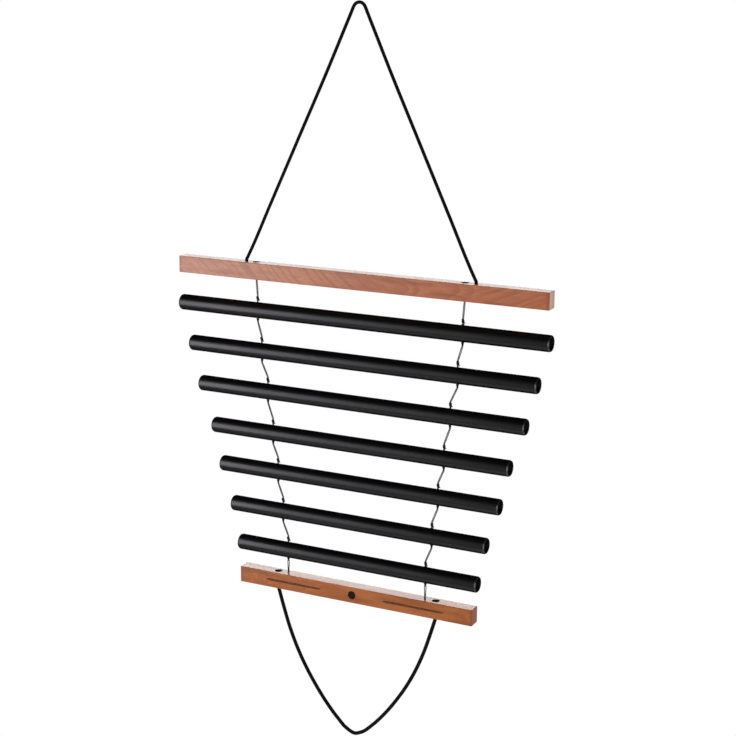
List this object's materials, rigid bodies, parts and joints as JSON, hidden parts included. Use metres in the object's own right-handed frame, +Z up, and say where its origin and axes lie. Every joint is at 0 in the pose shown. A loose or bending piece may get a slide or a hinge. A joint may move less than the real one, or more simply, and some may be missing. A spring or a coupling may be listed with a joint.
{
  "type": "tube chimes",
  "caption": "Hanging chimes: tuned metal tubes laced level between two wooden bars on knotted twine, hung by a cord, with a cord loop below.",
  "frame": {"origin": "the hang point: under the middle of the upper cord, where a hook or nail carries it", "axes": "+X along the tubes to the right, -Y the front that is played, +Z up"},
  "size_m": [0.5, 0.02, 0.925],
  "materials": {
    "oiled_hardwood": "reddish-brown cherry-like hardwood, oiled, straight to cathedral grain",
    "black_anodised": "satin black anodised tube",
    "cord_black": "black braided cord",
    "twine_dark": "dark grey-brown waxed twine"
  },
  "bodies": {
    "hanging_cord": {"upper_cord": "cord_black"},
    "top_bar": {"top_bar": "oiled_hardwood", "upper_cord_knots_left": "cord_black", "upper_cord_knots_right": "cord_black", "top_bar_twine_knots_left": "twine_dark", "top_bar_twine_knots_right": "twine_dark"},
    "twine_1": {"twine_1_left": "twine_dark", "twine_1_right": "twine_dark"},
    "tube_1": {"tube_1": "black_anodised", "tube_1_knots_left": "twine_dark", "tube_1_knots_right": "twine_dark"},
    "twine_2": {"twine_2_left": "twine_dark", "twine_2_right": "twine_dark"},
    "tube_2": {"tube_2": "black_anodised", "tube_2_knots_left": "twine_dark", "tube_2_knots_right": "twine_dark"},
    "twine_3": {"twine_3_left": "twine_dark", "twine_3_right": "twine_dark"},
    "tube_3": {"tube_3": "black_anodised", "tube_3_knots_left": "twine_dark", "tube_3_knots_right": "twine_dark"},
    "twine_4": {"twine_4_left": "twine_dark", "twine_4_right": "twine_dark"},
    "tube_4": {"tube_4": "black_anodised", "tube_4_knots_left": "twine_dark", "tube_4_knots_right": "twine_dark"},
    "twine_5": {"twine_5_left": "twine_dark", "twine_5_right": "twine_dark"},
    "tube_5": {"tube_5": "black_anodised", "tube_5_knots_left": "twine_dark", "tube_5_knots_right": "twine_dark"},
    "twine_6": {"twine_6_left": "twine_dark", "twine_6_right": "twine_dark"},
    "tube_6": {"tube_6": "black_anodised", "tube_6_knots_left": "twine_dark", "tube_6_knots_right": "twine_dark"},
    "twine_7": {"twine_7_left": "twine_dark", "twine_7_right": "twine_dark"},
    "tube_7": {"tube_7": "black_anodised", "tube_7_knots_left": "twine_dark", "tube_7_knots_right": "twine_dark"},
    "twine_8": {"twine_8_left": "twine_dark", "twine_8_right": "twine_dark"},
    "bottom_bar": {"bottom_bar": "oiled_hardwood", "bottom_bar_twine_knots_left": "twine_dark", "bottom_bar_twine_knots_right": "twine_dark", "lower_cord_knots_left": "cord_black", "lower_cord_knots_right": "cord_black"},
    "lower_cord": {"lower_cord": "cord_black"}
  },
  "joints": [
    {"name": "top_bar_swing", "type": "hinge", "parent": "hanging_cord", "child": "top_bar", "pos_m": [0, 0, -0.3127], "axis": [1, 0, 0], "range_deg": [-60, 60]},
    {"name": "twine_1_swing", "type": "hinge", "parent": "top_bar", "child": "twine_1", "pos_m": [0, 0, -0.3371], "axis": [1, 0, 0], "range_deg": [-60, 60]},
    {"name": "tube_1_swing", "type": "hinge", "parent": "twine_1", "child": "tube_1", "pos_m": [0, 0, -0.35721], "axis": [1, 0, 0], "range_deg": [-60, 60]},
    {"name": "twine_2_swing", "type": "hinge", "parent": "tube_1", "child": "twine_2", "pos_m": [0, 0, -0.39071], "axis": [1, 0, 0], "range_deg": [-60, 60]},
    {"name": "tube_2_swing", "type": "hinge", "parent": "twine_2", "child": "tube_2", "pos_m": [0, 0, -0.40881], "axis": [1, 0, 0], "range_deg": [-60, 60]},
    {"name": "twine_3_swing", "type": "hinge", "parent": "tube_2", "child": "twine_3", "pos_m": [0, 0, -0.44231], "axis": [1, 0, 0], "range_deg": [-60, 60]},
    {"name": "tube_3_swing", "type": "hinge", "parent": "twine_3", "child": "tube_3", "pos_m": [0, 0, -0.46041], "axis": [1, 0, 0], "range_deg": [-60, 60]},
    {"name": "twine_4_swing", "type": "hinge", "parent": "tube_3", "child": "twine_4", "pos_m": [0, 0, -0.49391], "axis": [1, 0, 0], "range_deg": [-60, 60]},
    {"name": "tube_4_swing", "type": "hinge", "parent": "twine_4", "child": "tube_4", "pos_m": [0, 0, -0.51361], "axis": [1, 0, 0], "range_deg": [-60, 60]},
    {"name": "twine_5_swing", "type": "hinge", "parent": "tube_4", "child": "twine_5", "pos_m": [0, 0, -0.54711], "axis": [1, 0, 0], "range_deg": [-60, 60]},
    {"name": "tube_5_swing", "type": "hinge", "parent": "twine_5", "child": "tube_5", "pos_m": [0, 0, -0.56361], "axis": [1, 0, 0], "range_deg": [-60, 60]},
    {"name": "twine_6_swing", "type": "hinge", "parent": "tube_5", "child": "twine_6", "pos_m": [0, 0, -0.59711], "axis": [1, 0, 0], "range_deg": [-60, 60]},
    {"name": "tube_6_swing", "type": "hinge", "parent": "twine_6", "child": "tube_6", "pos_m": [0, 0, -0.61521], "axis": [1, 0, 0], "range_deg": [-60, 60]},
    {"name": "twine_7_swing", "type": "hinge", "parent": "tube_6", "child": "twine_7", "pos_m": [0, 0, -0.64871], "axis": [1, 0, 0], "range_deg": [-60, 60]},
    {"name": "tube_7_swing", "type": "hinge", "parent": "twine_7", "child": "tube_7", "pos_m": [0, 0, -0.6664], "axis": [1, 0, 0], "range_deg": [-60, 60]},
    {"name": "twine_8_swing", "type": "hinge", "parent": "tube_7", "child": "twine_8", "pos_m": [0, 0, -0.6999], "axis": [1, 0, 0], "range_deg": [-60, 60]},
    {"name": "bottom_bar_swing", "type": "hinge", "parent": "twine_8", "child": "bottom_bar", "pos_m": [0, 0, -0.7151], "axis": [1, 0, 0], "range_deg": [-60, 60]},
    {"name": "lower_cord_swing", "type": "hinge", "parent": "bottom_bar", "child": "lower_cord", "pos_m": [0, 0, -0.7395], "axis": [1, 0, 0], "range_deg": [-75, 75]}
  ],
  "couplings": [
    {"joint": "twine_1_swing", "follows": "tube_1_swing", "ratio": -1},
    {"joint": "twine_2_swing", "follows": "tube_2_swing", "ratio": -1},
    {"joint": "twine_3_swing", "follows": "tube_3_swing", "ratio": -1},
    {"joint": "twine_4_swing", "follows": "tube_4_swing", "ratio": -1},
    {"joint": "twine_5_swing", "follows": "tube_5_swing", "ratio": -1},
    {"joint": "twine_6_swing", "follows": "tube_6_swing", "ratio": -1},
    {"joint": "twine_7_swing", "follows": "tube_7_swing", "ratio": -1},
    {"joint": "twine_8_swing", "follows": "bottom_bar_swing", "ratio": -1}
  ]
}
